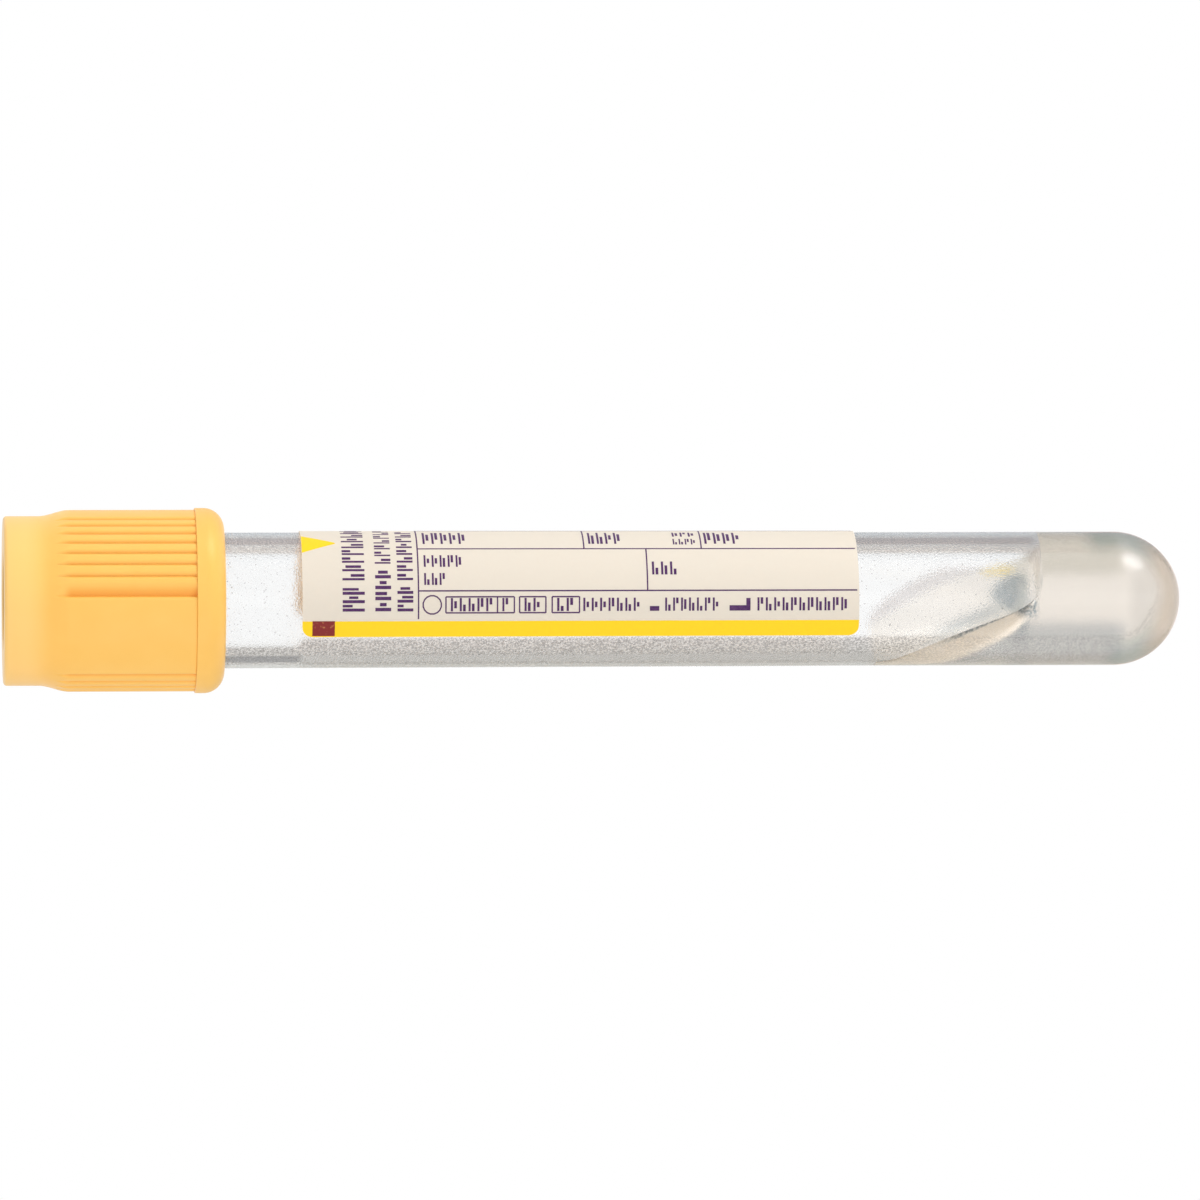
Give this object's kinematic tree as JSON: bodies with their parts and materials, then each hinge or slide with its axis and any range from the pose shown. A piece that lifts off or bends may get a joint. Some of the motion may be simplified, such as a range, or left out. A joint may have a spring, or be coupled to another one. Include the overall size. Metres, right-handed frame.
{
  "type": "blood collection tube",
  "caption": "Evacuated blood collection tube with a round end, a ribbed plastic closure over a rubber stopper, a separating gel and a wrapped label.",
  "frame": {"origin": "centre of the closure's flat end, which the tube stands on", "axes": "+Z along the axis to the round end, -Y out of the label's front, where its free edge is 32 degrees below the middle"},
  "size_m": [0.0176, 0.0176, 0.1127],
  "materials": {
    "shield": "moulded, semi-gloss, golden yellow",
    "stopper": "matt rubber, golden brown",
    "tube": "clear, glossy, with a fine speckled coating inside",
    "gel": "translucent gel",
    "label": "smooth cream film label with printed fields"
  },
  "bodies": {
    "closure": {"shield": "shield", "stopper": "stopper"},
    "barrel": {"tube": "tube", "gel": "gel", "label": "label"}
  },
  "joints": [
    {"name": "tube_pull", "type": "slide", "parent": "closure", "child": "barrel", "axis": [0, 0, 1], "range_m": [0, 0.03]}
  ]
}
